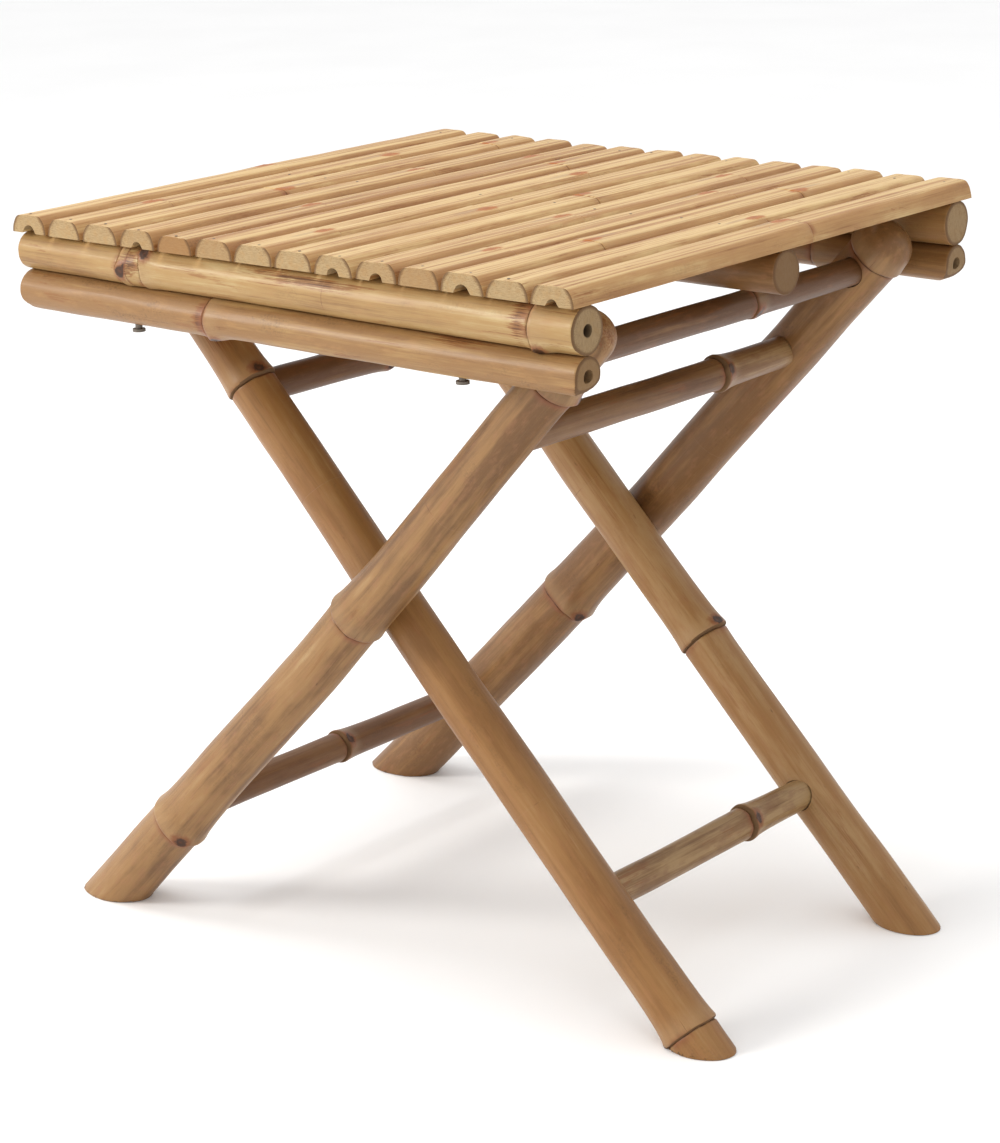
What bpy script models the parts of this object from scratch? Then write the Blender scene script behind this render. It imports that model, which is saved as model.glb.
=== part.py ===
"""Folding side table made of bamboo poles.

A top of half-round slats is nailed across three rails. Two leg frames cross
under it and turn on dowels where they meet. The outer frame hangs on an axle
that is fixed in the top's lower rails, and the inner frame's coped leg tops
push up against a stop bar. Units are metres, +Z is up, X runs along the rails
and Y along the slats. The table stands open on the floor, at z = 0.
"""

import math

import bmesh
import bpy
from mathutils import Matrix, Vector

# Top
SLAT_COUNT = 14
SLAT_PITCH = 0.036
SLAT_GAP = 0.0006
SLAT_HEIGHT = 0.013
SLAT_CROWN = 0.018          # width of the sanded flat along each slat
TOP_DEPTH = 0.470
UNDERSIDE_Z = 0.522         # underside of the slats above the floor
TOP_WIDTH = SLAT_COUNT * SLAT_PITCH
TOP_X = -0.0064             # middle of the top; the feet reach further right than left

# Rails under the slats
FIT = 0.0003                # gap between two pieces that touch
UPPER_RAIL_D = 0.032
LOWER_RAIL_D = 0.027
RAIL_Y = 0.217
RAIL_LEFT = TOP_X - 0.247
RAIL_RIGHT = TOP_X + 0.250
RAIL_BEVEL = 0.014          # slanted cut under the ends of the lower rails
PITH_D = 0.007
PITH_DEPTH = 0.012
UPPER_RAIL_Z = UNDERSIDE_Z - FIT - UPPER_RAIL_D / 2
LOWER_RAIL_Z = UPPER_RAIL_Z - UPPER_RAIL_D / 2 - FIT - LOWER_RAIL_D / 2
BOLT_X = (TOP_X - 0.143, TOP_X + 0.149)
BOLT_D = 0.005
BOLT_HEAD_D = 0.009
BOLT_HEAD_H = 0.002
BOLT_LENGTH = 0.042

# Leg frames: the lean is the angle between a leg and the floor
LEAN = math.radians(46.4)
OUTER_FOOT_X = -0.2594
INNER_FOOT_X = 0.2641
OUTER_BOW = 0.0045          # how far the middle of a leg hangs below its chord
INNER_BOW = 0.0035
LEG_CHORD = 0.700

# name: y of the leg, diameter at the foot, diameter at the top
OUTER_LEGS = {"outer_leg_front": (-0.1685, 0.0430, 0.0355), "outer_leg_rear": (0.1700, 0.0450, 0.0400)}
INNER_LEGS = {"inner_leg_front": (-0.1305, 0.0375, 0.0345), "inner_leg_rear": (0.1295, 0.0385, 0.0360)}

BAR_D = 0.0235
OUTER_UPPER_BAR = 0.570     # places along a leg, measured from the foot
OUTER_LOWER_BAR = 0.121
INNER_UPPER_BAR = 0.562
INNER_LOWER_BAR = 0.122

# Axle, stop bar and pivots
AXLE_D = 0.021
AXLE_TENON_D = 0.014
AXLE_PLAY = 0.0006          # running gap of the axle in the outer legs
AXLE_SHOULDER = 0.195       # where the axle steps down to its tenon
STOP_BAR_D = 0.020
COPE_DEPTH = 0.003
DOME_RADIUS = 0.0425        # the outer legs end inside this circle round the axle
DOWEL_D = 0.010
LOCK_NAIL_D = 0.003
LOCK_NAIL_LENGTH = 0.017

ROUND = 32                  # sides of the poles
SMALL_ROUND = 16            # sides of the pins and nails

MATERIALS = {
    "slat_bamboo": ((0.66, 0.43, 0.19), 0.42, 0.0),
    "rail_bamboo": ((0.70, 0.52, 0.28), 0.48, 0.0),
    "leg_bamboo": ((0.47, 0.28, 0.12), 0.38, 0.0),
    "bar_bamboo": ((0.33, 0.17, 0.07), 0.42, 0.0),
    "nail_steel": ((0.45, 0.42, 0.38), 0.40, 1.0),
}


def remove_everything():
    for item in list(bpy.data.objects):
        bpy.data.objects.remove(item, do_unlink=True)


def material(name):
    found = bpy.data.materials.get(name)
    if found:
        return found
    colour, roughness, metallic = MATERIALS[name]
    made = bpy.data.materials.new(name)
    made.use_nodes = True
    surface = made.node_tree.nodes["Principled BSDF"]
    surface.inputs["Base Color"].default_value = (*colour, 1.0)
    surface.inputs["Roughness"].default_value = roughness
    surface.inputs["Metallic"].default_value = metallic
    return made


def add_object(name, bm, slot, parent=None):
    """Turn a bmesh given in world coordinates into an object under its parent."""
    origin = parent.location.copy() if parent else Vector()
    bmesh.ops.translate(bm, verts=bm.verts, vec=-origin)
    bmesh.ops.recalc_face_normals(bm, faces=bm.faces)
    mesh = bpy.data.meshes.new(name)
    bm.to_mesh(mesh)
    bm.free()
    mesh.shade_smooth()
    mesh.set_sharp_from_angle(angle=math.radians(35))
    made = bpy.data.objects.new(name, mesh)
    bpy.context.scene.collection.objects.link(made)
    made.data.materials.append(material(slot))
    made.parent = parent
    return made


def pole(centres, radii, direction, sides=ROUND):
    """A closed round pole through the centres, its rings square to the direction."""
    bm = bmesh.new()
    turn = Vector((0, 0, 1)).rotation_difference(Vector(direction)).to_matrix()
    rings = []
    for centre, radius in zip(centres, radii):
        ring = []
        for step in range(sides):
            angle = 2 * math.pi * step / sides
            spoke = Vector((radius * math.cos(angle), radius * math.sin(angle), 0))
            ring.append(bm.verts.new(Vector(centre) + turn @ spoke))
        rings.append(ring)
    for low, high in zip(rings, rings[1:]):
        for step in range(sides):
            after = (step + 1) % sides
            bm.faces.new((low[step], low[after], high[after], high[step]))
    bm.faces.new(list(reversed(rings[0])))
    bm.faces.new(rings[-1])
    return bm


def rod(start, end, diameter, sides=ROUND):
    start, end = Vector(start), Vector(end)
    return pole((start, end), (diameter / 2, diameter / 2), end - start, sides)


def cutter(bm):
    """A hidden object that a Boolean takes away from a piece."""
    bmesh.ops.recalc_face_normals(bm, faces=bm.faces)
    mesh = bpy.data.meshes.new("cutter")
    bm.to_mesh(mesh)
    bm.free()
    made = bpy.data.objects.new("cutter", mesh)
    bpy.context.scene.collection.objects.link(made)
    return made


def cut(target, *shapes):
    """Take the shapes away for good, then drop the cutters."""
    for shape in shapes:
        tool = cutter(shape)
        boolean = target.modifiers.new("cut", "BOOLEAN")
        boolean.operation = "DIFFERENCE"
        boolean.solver = "EXACT"
        boolean.object = tool
        bpy.context.view_layer.update()
        graph = bpy.context.evaluated_depsgraph_get()
        result = bpy.data.meshes.new_from_object(target.evaluated_get(graph))
        target.modifiers.clear()
        target.data = result
        bpy.data.objects.remove(tool, do_unlink=True)


def frame_point(along, outer):
    """Point (x, z) of a leg frame's bowed centre line, measured from the foot."""
    side = 1 if outer else -1
    foot = OUTER_FOOT_X if outer else INNER_FOOT_X
    bow = (OUTER_BOW if outer else INNER_BOW) * math.sin(math.pi * along / LEG_CHORD)
    x = foot + side * (along * math.cos(LEAN) + bow * math.sin(LEAN))
    z = along * math.sin(LEAN) - bow * math.cos(LEAN)
    return x, z


def frame_direction(outer):
    return Vector((math.cos(LEAN) * (1 if outer else -1), 0, math.sin(LEAN)))


def along_at_height(z, outer):
    """Where a leg frame's centre line reaches a height."""
    along = z / math.sin(LEAN)
    for _ in range(8):
        along += (z - frame_point(along, outer)[1]) / math.sin(LEAN)
    return along


def pivot_point():
    """Where the two leg frames' straight chords cross, lowered by their bow."""
    x = (OUTER_FOOT_X + INNER_FOOT_X) / 2
    bow = (OUTER_BOW + INNER_BOW) / 2
    z = (x - OUTER_FOOT_X) * math.tan(LEAN) - bow / math.cos(LEAN)
    return x, z


def leg_radius(along, foot_d, top_d):
    return (foot_d + (top_d - foot_d) * along / LEG_CHORD) / 2


AXLE_ALONG = along_at_height(LOWER_RAIL_Z, True)
AXLE_X = frame_point(AXLE_ALONG, True)[0]
STOP_ALONG = along_at_height(UPPER_RAIL_Z, False)
STOP_X = frame_point(STOP_ALONG, False)[0]
PIVOT_X, PIVOT_Z = pivot_point()


def slat(number, parent):
    """One half-round slat: flat underside, round back, sanded crown."""
    centre = TOP_X + (number - 0.5) * SLAT_PITCH - TOP_WIDTH / 2
    half = (SLAT_PITCH - SLAT_GAP) / 2
    crown = SLAT_CROWN / 2
    outline = [(-half, 0.0), (-half, SLAT_HEIGHT * 0.18)]
    steps = 5
    for step in range(1, steps + 1):
        angle = math.radians(90) * step / steps
        x = crown + (half - crown) * math.cos(angle)
        z = SLAT_HEIGHT * (0.18 + 0.82 * math.sin(angle))
        outline.append((-x, z))
    outline += [(-x, z) for x, z in reversed(outline)]
    bm = bmesh.new()
    front = [bm.verts.new((centre + x, -TOP_DEPTH / 2, UNDERSIDE_Z + z)) for x, z in outline]
    face = bm.faces.new(front)
    grown = bmesh.ops.extrude_face_region(bm, geom=[face])
    moved = [item for item in grown["geom"] if isinstance(item, bmesh.types.BMVert)]
    bmesh.ops.translate(bm, verts=moved, vec=(0, TOP_DEPTH, 0))
    return add_object(f"slat_{number:02d}", bm, "slat_bamboo", parent)


def pith(x, y, z):
    """The small hollow in the end of a rail."""
    inward = -PITH_DEPTH if x > 0 else PITH_DEPTH
    outward = 0.002 if x > 0 else -0.002
    return rod((x + inward, y, z), (x + outward, y, z), PITH_D, SMALL_ROUND)


def end_bevel(x, y):
    """A block that slants off the underside of a lower rail's end."""
    side = 1 if x > 0 else -1
    low = LOWER_RAIL_Z - LOWER_RAIL_D / 2
    bm = bmesh.new()
    corners = [(x + side * 0.002, low + RAIL_BEVEL), (x - side * RAIL_BEVEL, low - 0.002),
               (x + side * 0.002, low - 0.002)]
    loops = []
    for across in (-LOWER_RAIL_D, LOWER_RAIL_D):
        loops.append([bm.verts.new((cx, y + across, cz)) for cx, cz in corners])
    bm.faces.new(loops[0])
    bm.faces.new(loops[1])
    for step in range(3):
        after = (step + 1) % 3
        bm.faces.new((loops[0][step], loops[0][after], loops[1][after], loops[1][step]))
    return bm


def rails(parent):
    for place, y in (("front", -RAIL_Y), ("rear", RAIL_Y)):
        inward = 1 if y < 0 else -1
        upper = add_object(f"{place}_upper_rail", rod((RAIL_LEFT, y, UPPER_RAIL_Z),
                           (RAIL_RIGHT, y, UPPER_RAIL_Z), UPPER_RAIL_D), "rail_bamboo", parent)
        lower = add_object(f"{place}_lower_rail", rod((RAIL_LEFT, y, LOWER_RAIL_Z),
                           (RAIL_RIGHT, y, LOWER_RAIL_Z), LOWER_RAIL_D), "rail_bamboo", parent)
        low = LOWER_RAIL_Z - LOWER_RAIL_D / 2
        for x in BOLT_X:
            hole = BOLT_D + 2 * FIT
            top = low + BOLT_LENGTH
            cut(lower, rod((x, y, low - 0.002), (x, y, UPPER_RAIL_Z), hole, SMALL_ROUND))
            cut(upper, rod((x, y, LOWER_RAIL_Z), (x, y, top), hole, SMALL_ROUND))
        cut(upper, pith(RAIL_LEFT, y, UPPER_RAIL_Z), pith(RAIL_RIGHT, y, UPPER_RAIL_Z))
        cut(lower, end_bevel(RAIL_LEFT, y), end_bevel(RAIL_RIGHT, y))
        stop_end = y + inward * 0.003
        cut(upper, rod((STOP_X, stop_end, UPPER_RAIL_Z), (STOP_X, 0, UPPER_RAIL_Z),
                       STOP_BAR_D + 2 * FIT))
        tenon_end = y - inward * 0.005
        cut(lower, rod((AXLE_X, tenon_end, LOWER_RAIL_Z), (AXLE_X, 0, LOWER_RAIL_Z),
                       AXLE_TENON_D + 2 * FIT))
        for side, x in zip(("left", "right"), BOLT_X):
            rail_bolt(f"rail_bolt_{place}_{side}", x, y, low, parent)
    middle = add_object("middle_rail", rod((RAIL_LEFT, 0, UPPER_RAIL_Z),
                        (RAIL_RIGHT, 0, UPPER_RAIL_Z), UPPER_RAIL_D), "rail_bamboo", parent)
    cut(middle, rod((STOP_X, -UPPER_RAIL_D, UPPER_RAIL_Z), (STOP_X, UPPER_RAIL_D, UPPER_RAIL_Z),
                    STOP_BAR_D + 2 * FIT))
    cut(middle, pith(RAIL_LEFT, 0, UPPER_RAIL_Z), pith(RAIL_RIGHT, 0, UPPER_RAIL_Z))


def rail_bolt(name, x, y, rail_bottom, parent):
    """A headed pin driven up through a lower rail into the upper rail."""
    head_top = rail_bottom - FIT
    heights = (head_top - BOLT_HEAD_H, head_top, head_top + 0.0001, head_top + BOLT_LENGTH)
    radii = (BOLT_HEAD_D / 2, BOLT_HEAD_D / 2, BOLT_D / 2, BOLT_D / 2)
    centres = [(x, y, z) for z in heights]
    add_object(name, pole(centres, radii, (0, 0, 1), SMALL_ROUND), "nail_steel", parent)


def axle(parent):
    """The dark axle: runs in the outer legs, its tenons fixed in the lower rails."""
    end = RAIL_Y + 0.004
    stations = (-end, -AXLE_SHOULDER, -AXLE_SHOULDER + 0.0001,
                AXLE_SHOULDER - 0.0001, AXLE_SHOULDER, end)
    thin, thick = AXLE_TENON_D / 2, AXLE_D / 2
    radii = (thin, thin, thick, thick, thin, thin)
    centres = [(AXLE_X, y, LOWER_RAIL_Z) for y in stations]
    add_object("top_axle", pole(centres, radii, (0, 1, 0)), "bar_bamboo", parent)


def stop_bar(parent):
    end = RAIL_Y - 0.0035
    add_object("stop_bar", rod((STOP_X, -end, UPPER_RAIL_Z), (STOP_X, end, UPPER_RAIL_Z),
               STOP_BAR_D), "bar_bamboo", parent)


def leg_stations(outer, foot_d, top_d):
    """Distances and radii of a leg's rings, from under the floor to the top."""
    step = 0.05
    end = AXLE_ALONG + 0.036 if outer else STOP_ALONG - STOP_BAR_D / 2 + COPE_DEPTH
    alongs = [-0.03]
    while alongs[-1] + step < end - 0.02:
        alongs.append(alongs[-1] + step)
    radii = [leg_radius(along, foot_d, top_d) for along in alongs]
    if outer:
        for lift in (0.0370, 0.0385, 0.0400, 0.0412):
            alongs.append(AXLE_ALONG + lift)
            dome = math.sqrt(DOME_RADIUS ** 2 - lift ** 2)
            radii.append(min(dome, leg_radius(alongs[-1], foot_d, top_d)))
    else:
        for drop, inset in ((0.003, 0.0), (0.001, 0.001), (0.0, 0.003)):
            alongs.append(end - drop)
            radii.append(leg_radius(alongs[-1], foot_d, top_d) - inset)
    return alongs, radii


def leg(name, outer, shape, parent):
    y, foot_d, top_d = shape
    alongs, radii = leg_stations(outer, foot_d, top_d)
    centres = []
    for along in alongs:
        x, z = frame_point(along, outer)
        centres.append((x, y, z))
    bm = pole(centres, radii, frame_direction(outer))
    whole = bm.verts[:] + bm.edges[:] + bm.faces[:]
    bmesh.ops.bisect_plane(bm, geom=whole, plane_co=(0, 0, 0), plane_no=(0, 0, 1), clear_inner=True)
    bmesh.ops.holes_fill(bm, edges=[edge for edge in bm.edges if edge.is_boundary], sides=0)
    made = add_object(name, bm, "leg_bamboo", parent)
    inward = 1 if y < 0 else -1
    places = (OUTER_UPPER_BAR, OUTER_LOWER_BAR) if outer else (INNER_UPPER_BAR, INNER_LOWER_BAR)
    for along in places:
        x, z = frame_point(along, outer)
        cut(made, rod((x, y - inward * 0.003, z), (x, y + inward * 0.04, z), BAR_D + 2 * FIT))
    dowel_hole = DOWEL_D + 2 * FIT
    if outer:
        reach = 0.04
        cut(made, rod((AXLE_X, y - reach, LOWER_RAIL_Z), (AXLE_X, y + reach, LOWER_RAIL_Z),
                      AXLE_D + 2 * AXLE_PLAY))
        cut(made, rod((PIVOT_X, y - inward * 0.0095, PIVOT_Z), (PIVOT_X, y + inward * 0.04, PIVOT_Z),
                      dowel_hole, SMALL_ROUND))
        start, end = lock_nail_line(y, foot_d, top_d)
        beyond = start - (end - start) * 0.3
        past = end + (end - start).normalized() * FIT
        cut(made, rod(beyond, past, LOCK_NAIL_D + 2 * FIT, SMALL_ROUND))
    else:
        cut(made, rod((PIVOT_X, y + inward * 0.0125, PIVOT_Z), (PIVOT_X, y - inward * 0.04, PIVOT_Z),
                      dowel_hole, SMALL_ROUND))
        cut(made, rod((STOP_X, y - 0.04, UPPER_RAIL_Z), (STOP_X, y + 0.04, UPPER_RAIL_Z),
                      STOP_BAR_D + 4 * FIT))


def lock_nail_line(y, foot_d, top_d):
    """From the underside of an outer leg up to just short of the dowel."""
    square = Vector((math.sin(LEAN), 0, -math.cos(LEAN)))
    dowel = Vector((PIVOT_X, y, PIVOT_Z))
    surface = leg_radius(LEG_CHORD * 0.53, foot_d, top_d) - 0.001
    return dowel + square * surface, dowel + square * (DOWEL_D / 2 + 2 * FIT)


def bar(name, along, outer, slot, parent):
    legs = OUTER_LEGS if outer else INNER_LEGS
    front, rear = (shape[0] for shape in legs.values())
    x, z = frame_point(along, outer)
    tenon = 0.0025
    add_object(name, rod((x, front - tenon, z), (x, rear + tenon, z), BAR_D), slot, parent)


def pivot_dowels(parent):
    """Dowels fixed in the outer legs, on which the inner legs turn."""
    for place, y, inner_y in (("front", OUTER_LEGS["outer_leg_front"][0], INNER_LEGS["inner_leg_front"][0]),
                              ("rear", OUTER_LEGS["outer_leg_rear"][0], INNER_LEGS["inner_leg_rear"][0])):
        inward = 1 if y < 0 else -1
        start = (PIVOT_X, y - inward * 0.009, PIVOT_Z)
        end = (PIVOT_X, inner_y + inward * 0.012, PIVOT_Z)
        add_object(f"pivot_dowel_{place}", rod(start, end, DOWEL_D, SMALL_ROUND), "bar_bamboo", parent)
        _, foot_d, top_d = OUTER_LEGS[f"outer_leg_{place}"]
        low, high = lock_nail_line(y, foot_d, top_d)
        add_object(f"pivot_lock_nail_{place}", rod(low, high, LOCK_NAIL_D, SMALL_ROUND),
                   "nail_steel", parent)


def empty(name, location, parent=None):
    made = bpy.data.objects.new(name, None)
    bpy.context.scene.collection.objects.link(made)
    made.location = Vector(location)
    made.parent = parent
    return made


def main():
    remove_everything()
    top_axis = empty("top_axis", (AXLE_X, 0, LOWER_RAIL_Z))
    fold_axis = empty("fold_axis", (PIVOT_X, 0, PIVOT_Z))
    for number in range(1, SLAT_COUNT + 1):
        slat(number, top_axis)
    rails(top_axis)
    axle(top_axis)
    stop_bar(top_axis)
    for name, shape in OUTER_LEGS.items():
        leg(name, True, shape, None)
    bar("outer_upper_bar", OUTER_UPPER_BAR, True, "bar_bamboo", None)
    bar("outer_lower_bar", OUTER_LOWER_BAR, True, "bar_bamboo", None)
    pivot_dowels(None)
    for name, shape in INNER_LEGS.items():
        leg(name, False, shape, fold_axis)
    bar("inner_upper_bar", INNER_UPPER_BAR, False, "bar_bamboo", fold_axis)
    bar("inner_lower_bar", INNER_LOWER_BAR, False, "bar_bamboo", fold_axis)
    bpy.context.view_layer.update()


main()
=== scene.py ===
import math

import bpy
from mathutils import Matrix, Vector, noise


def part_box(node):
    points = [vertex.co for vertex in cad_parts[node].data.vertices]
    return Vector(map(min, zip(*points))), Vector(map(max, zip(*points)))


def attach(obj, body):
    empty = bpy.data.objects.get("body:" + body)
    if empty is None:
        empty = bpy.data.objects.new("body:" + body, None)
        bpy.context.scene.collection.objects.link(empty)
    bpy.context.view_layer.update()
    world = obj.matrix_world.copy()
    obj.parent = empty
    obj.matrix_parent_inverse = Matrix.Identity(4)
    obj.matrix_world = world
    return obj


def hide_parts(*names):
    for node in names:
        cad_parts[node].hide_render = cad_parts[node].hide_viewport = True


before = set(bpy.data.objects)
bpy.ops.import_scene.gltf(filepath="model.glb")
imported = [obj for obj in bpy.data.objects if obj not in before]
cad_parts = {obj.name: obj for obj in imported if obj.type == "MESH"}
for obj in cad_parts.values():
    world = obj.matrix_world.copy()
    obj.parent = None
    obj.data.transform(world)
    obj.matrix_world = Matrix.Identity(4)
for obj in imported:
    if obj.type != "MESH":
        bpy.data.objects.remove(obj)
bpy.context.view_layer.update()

# A folding side table of bamboo: half culms for the top, whole culms for the rails, legs and bars.
# Each culm is grown straight on a bench, along +Z, ring by ring. Its nodes, branch scars and
# cut ends are then shaped, its bench coordinates are stored for the materials, and it is set
# in its place in the table. Lengths are metres.

MM = 0.001

# ---------------------------------------------------------------------------------------------
# Shader workshop
# ---------------------------------------------------------------------------------------------


class Wire:
    """A socket whose arithmetic makes Math nodes."""

    def __init__(self, finish, socket):
        self.finish = finish
        self.socket = socket

    def math(self, operation, *others):
        inputs = {number: value for number, value in enumerate((self, *others))}
        return self.finish.node("ShaderNodeMath", {"operation": operation}, inputs)

    def flipped(self, operation, other):
        return self.finish.node("ShaderNodeMath", {"operation": operation}, {0: other, 1: self})

    def __add__(self, other):
        return self.math("ADD", other)

    def __radd__(self, other):
        return self.math("ADD", other)

    def __sub__(self, other):
        return self.math("SUBTRACT", other)

    def __rsub__(self, other):
        return self.flipped("SUBTRACT", other)

    def __mul__(self, other):
        return self.math("MULTIPLY", other)

    def __rmul__(self, other):
        return self.math("MULTIPLY", other)

    def __truediv__(self, other):
        return self.math("DIVIDE", other)

    def __pow__(self, other):
        return self.math("POWER", other)

    def __abs__(self):
        return self.math("ABSOLUTE")

    def ramp(self, low, high):
        """0 below low, 1 above high, and a smooth step between."""
        settings = {"interpolation_type": "SMOOTHSTEP"}
        inputs = {"Value": self, "From Min": low, "From Max": high}
        if low > high:
            inputs.update({"From Min": high, "From Max": low, "To Min": 1.0, "To Max": 0.0})
        return self.finish.node("ShaderNodeMapRange", settings, inputs)

    def bump(self, centre, width):
        """A soft bell of height 1 round the centre."""
        return 1 - abs((self - centre) / width).ramp(0.0, 1.0)


class Finish:
    """A material and the few ways in which its nodes are made."""

    def __init__(self, name, **constants):
        self.material = bpy.data.materials.new(name)
        self.material.use_nodes = True
        self.tree = self.material.node_tree
        self.surface = self.tree.nodes["Principled BSDF"]
        for socket, value in constants.items():
            self.surface.inputs[socket.replace("_", " ")].default_value = value

    def node(self, kind, settings=None, inputs=None, output=0):
        made = self.tree.nodes.new(kind)
        for setting, value in (settings or {}).items():
            setattr(made, setting, value)
        for socket, value in (inputs or {}).items():
            if isinstance(value, Wire):
                self.tree.links.new(value.socket, made.inputs[socket])
            else:
                made.inputs[socket].default_value = value
        return Wire(self, made.outputs[output])

    def feed(self, **sockets):
        for socket, wire in sockets.items():
            self.tree.links.new(wire.socket, self.surface.inputs[socket.replace("_", " ")])

    def attribute(self, name, output="Vector"):
        return self.node("ShaderNodeAttribute", {"attribute_name": name}, output=output)

    def parts(self, vector):
        return [self.node("ShaderNodeSeparateXYZ", None, {0: vector}, axis) for axis in range(3)]

    def stretched(self, vector, scale):
        return self.node("ShaderNodeVectorMath", {"operation": "MULTIPLY"}, {0: vector, 1: scale})

    def shifted(self, vector, offset):
        return self.node("ShaderNodeVectorMath", {"operation": "ADD"}, {0: vector, 1: offset})

    def grain(self, vector, scale, detail=3.0, roughness=0.5):
        inputs = {"Vector": vector, "Scale": scale, "Detail": detail, "Roughness": roughness}
        return self.node("ShaderNodeTexNoise", None, inputs)

    def cells(self, vector, scale):
        return self.node("ShaderNodeTexVoronoi", None, {"Vector": vector, "Scale": scale})

    def blend(self, factor, below, above):
        settings = {"data_type": "RGBA"}
        return self.node("ShaderNodeMix", settings, {0: factor, 6: below, 7: above}, 2)

    def relief(self, height, distance, strength):
        inputs = {"Height": height, "Distance": distance, "Strength": strength}
        return self.node("ShaderNodeBump", None, inputs)


REFLECTANCE = 0.74      # the colours below are as lit; this takes the bright studio out of them


def paint(red, green, blue):
    """A colour as a painter reads it, 0 to 255, made linear."""
    linear = []
    for level in (red, green, blue):
        level /= 255
        linear.append(level / 12.92 if level <= 0.04045 else ((level + 0.055) / 1.055) ** 2.4)
    return (*(channel * REFLECTANCE for channel in linear), 1.0)


# ---------------------------------------------------------------------------------------------
# Bamboo finishes
# ---------------------------------------------------------------------------------------------

# light, middle and dark skin, the blush that drifts over it, and the colour of the streaks
LEG_SKIN = dict(light=paint(192, 158, 110), middle=paint(163, 122, 74), dark=paint(120, 84, 48),
                blush=paint(166, 116, 80), streak=paint(88, 58, 34), amber=paint(160, 108, 52),
                gloss=0.36, thready=0.28)
BAR_SKIN = dict(light=paint(170, 137, 92), middle=paint(134, 96, 56), dark=paint(92, 58, 30),
                blush=paint(128, 84, 58), streak=paint(66, 40, 24), amber=paint(140, 92, 48),
                gloss=0.38, thready=0.50)
RAIL_SKIN = dict(light=paint(200, 174, 122), middle=paint(182, 146, 92), dark=paint(142, 104, 64),
                 blush=paint(180, 134, 84), streak=paint(122, 82, 48), amber=paint(186, 138, 82),
                 gloss=0.42, thready=0.50)
SLAT_SKIN = dict(light=paint(219, 187, 130), middle=paint(190, 146, 92), dark=paint(160, 113, 66),
                 blush=paint(182, 134, 92), streak=paint(126, 80, 44), amber=paint(186, 136, 84),
                 gloss=0.46, thready=0.60)

NODE_LINE = paint(78, 46, 26)
NODE_GLOW = paint(184, 150, 108)
NODE_RUST = paint(142, 82, 50)
SCAR_DARK = paint(56, 32, 18)
SCAR_RUST = paint(138, 74, 36)
SCUFF = paint(142, 84, 38)
MILDEW = paint(58, 44, 32)
CROWN_TAN = paint(160, 110, 60)
TAIL_GREY = paint(156, 122, 94)
KNOT = paint(172, 98, 34)
CUT_PALE = paint(196, 168, 124)
CUT_EDGE = paint(112, 80, 50)
CUT_DOT = paint(122, 88, 54)
# painted shade: the colour laid inside a hollow culm end for the shade down in it
HOLLOW_PAINTED_SHADE = paint(52, 34, 22)


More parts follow.
